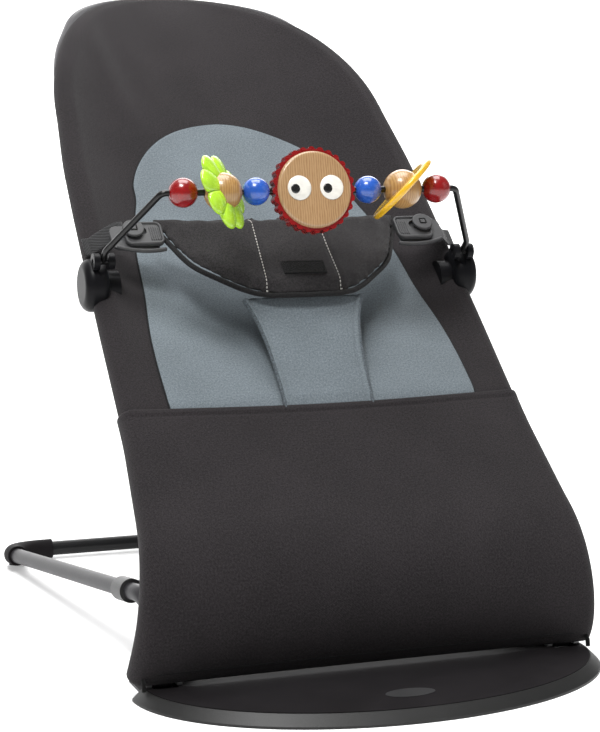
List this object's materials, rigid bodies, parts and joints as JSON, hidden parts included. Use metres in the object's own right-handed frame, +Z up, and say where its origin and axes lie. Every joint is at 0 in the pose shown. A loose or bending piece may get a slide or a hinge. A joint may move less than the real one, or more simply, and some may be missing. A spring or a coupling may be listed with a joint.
{
  "type": "baby bouncer seat",
  "caption": "Folding baby bouncer with a fabric seat on a bent tube frame, a front foot plate, a padded restraint and a bar of wooden toys.",
  "frame": {"origin": "centre of the front foot plate's underside, on the floor", "axes": "+Z up, -Y towards the front of the seat, +X to the right of someone facing it"},
  "size_m": [0.3982, 0.7153, 0.5562],
  "materials": {
    "shell_plastic": "satin moulded",
    "rubber": "matt",
    "frame_black": "satin black powder coat",
    "frame_gunmetal": "glossy dark grey",
    "bare_steel": "brushed",
    "cover_fabric": "charcoal woven cotton",
    "insert_fabric": "grey woven cotton",
    "webbing": "black woven webbing",
    "label": "blank woven tag",
    "buckle_plastic": "fine textured grey",
    "clip_plastic": "glossy black",
    "paint_red": "gloss lacquer",
    "paint_blue": "gloss lacquer",
    "paint_lime": "gloss lacquer",
    "paint_yellow": "gloss lacquer",
    "toy_wood": "clear satin lacquer",
    "paint_white": "gloss",
    "paint_black": "gloss"
  },
  "bodies": {
    "base": {"base_plate": "shell_plastic", "plate_rim": "rubber", "plate_sole": "rubber", "plate_badge": "shell_plastic", "rear_crossbar": "frame_black", "foot_pads": "rubber", "hinge_pins": "bare_steel", "socket_screws": "bare_steel", "corner_loops": "webbing", "rail_socket_left": "shell_plastic", "rail_socket_right": "shell_plastic", "side_rail_left": "frame_gunmetal", "side_rail_right": "frame_gunmetal", "corner_foot_left": "shell_plastic", "corner_foot_right": "shell_plastic", "hinge_bracket_left": "bare_steel", "hinge_bracket_right": "bare_steel", "bow_clip_left": "shell_plastic", "bow_clip_right": "shell_plastic"},
    "hinge_bushes": {"hinge_bushes": "shell_plastic"},
    "seat": {"seat_tube_left": "frame_gunmetal", "seat_tube_right": "frame_gunmetal", "notch_plate_left": "bare_steel", "notch_plate_right": "bare_steel", "head_hoop": "frame_gunmetal", "tube_spigots": "bare_steel", "front_panel": "cover_fabric", "seat_sling": "insert_fabric", "head_panel": "cover_fabric", "restraint_bib": "cover_fabric", "crotch_strap": "insert_fabric", "blank_label": "label", "buckle_base_left": "buckle_plastic", "buckle_base_right": "buckle_plastic", "web_strap_left": "webbing", "web_strap_right": "webbing", "toy_clip_left": "clip_plastic", "toy_clip_right": "clip_plastic"},
    "tab_left": {"buckle_tab_left": "buckle_plastic"},
    "tab_right": {"buckle_tab_right": "buckle_plastic"},
    "bow_bushes": {"bow_bushes": "shell_plastic"},
    "bow": {"bow_bar": "frame_black", "bow_arm_left": "frame_black", "bow_arm_right": "frame_black"},
    "toy_bar": {"toy_bar_rod": "frame_black"},
    "red_toy_left": {"red_bead_left": "paint_red"},
    "flower_toy": {"flower_ball": "toy_wood", "flower_petals": "paint_lime"},
    "blue_toy_left": {"blue_bead_left": "paint_blue"},
    "face_toy": {"face_disc": "toy_wood", "face_rim": "paint_red", "face_eyes": "paint_white", "face_pupils": "paint_black"},
    "blue_toy_right": {"blue_bead_right": "paint_blue"},
    "disc_toy": {"disc_ball": "toy_wood", "yellow_disc": "paint_yellow"},
    "red_toy_right": {"red_bead_right": "paint_red"}
  },
  "joints": [
    {"name": "seat_fold", "type": "hinge", "parent": "base", "child": "hinge_bushes", "pos_m": [0, 0.06665, 0.0155], "axis": [1, 0, 0], "range_deg": [-38, 0]},
    {"name": "seat_bounce", "type": "hinge", "parent": "hinge_bushes", "child": "seat", "pos_m": [0, 0.06665, 0.0155], "axis": [1, 0, 0], "range_deg": [-2.5, 1.5], "stiffness_Nm_per_rad": 250, "springref_deg": 0.92},
    {"name": "bow_swing", "type": "hinge", "parent": "base", "child": "bow_bushes", "pos_m": [0, 0.175, 0.05798], "axis": [1, 0, 0], "range_deg": [-66, 1]},
    {"name": "bow_flex", "type": "hinge", "parent": "bow_bushes", "child": "bow", "pos_m": [0, 0.175, 0.05798], "axis": [1, 0, 0], "range_deg": [-4.5, 3]},
    {"name": "tab_left_release", "type": "slide", "parent": "seat", "child": "tab_left", "axis": [-1, 0, 0], "range_m": [0, 0.0065]},
    {"name": "tab_right_release", "type": "slide", "parent": "seat", "child": "tab_right", "axis": [1, 0, 0], "range_m": [0, 0.0065]},
    {"name": "toy_bar_tilt", "type": "hinge", "parent": "seat", "child": "toy_bar", "pos_m": [0, 0.25202, 0.31988], "axis": [1, 0, 0], "range_deg": [-45, 45]},
    {"name": "red_left_spin", "type": "hinge", "parent": "toy_bar", "child": "red_toy_left", "pos_m": [0, 0.19209, 0.37895], "axis": [1, 0, 0], "continuous": true},
    {"name": "flower_spin", "type": "hinge", "parent": "toy_bar", "child": "flower_toy", "pos_m": [0, 0.19209, 0.37895], "axis": [1, 0, 0], "continuous": true},
    {"name": "blue_left_spin", "type": "hinge", "parent": "toy_bar", "child": "blue_toy_left", "pos_m": [0, 0.19209, 0.37895], "axis": [1, 0, 0], "continuous": true},
    {"name": "face_spin", "type": "hinge", "parent": "toy_bar", "child": "face_toy", "pos_m": [0, 0.19209, 0.37895], "axis": [1, 0, 0], "continuous": true},
    {"name": "blue_right_spin", "type": "hinge", "parent": "toy_bar", "child": "blue_toy_right", "pos_m": [0, 0.19209, 0.37895], "axis": [1, 0, 0], "continuous": true},
    {"name": "disc_spin", "type": "hinge", "parent": "toy_bar", "child": "disc_toy", "pos_m": [0, 0.19209, 0.37895], "axis": [1, 0, 0], "continuous": true},
    {"name": "red_right_spin", "type": "hinge", "parent": "toy_bar", "child": "red_toy_right", "pos_m": [0, 0.19209, 0.37895], "axis": [1, 0, 0], "continuous": true}
  ],
  "couplings": [
    {"joint": "bow_swing", "follows": "seat_fold", "ratio": 1.705},
    {"joint": "bow_flex", "follows": "seat_bounce", "ratio": 1.705}
  ]
}
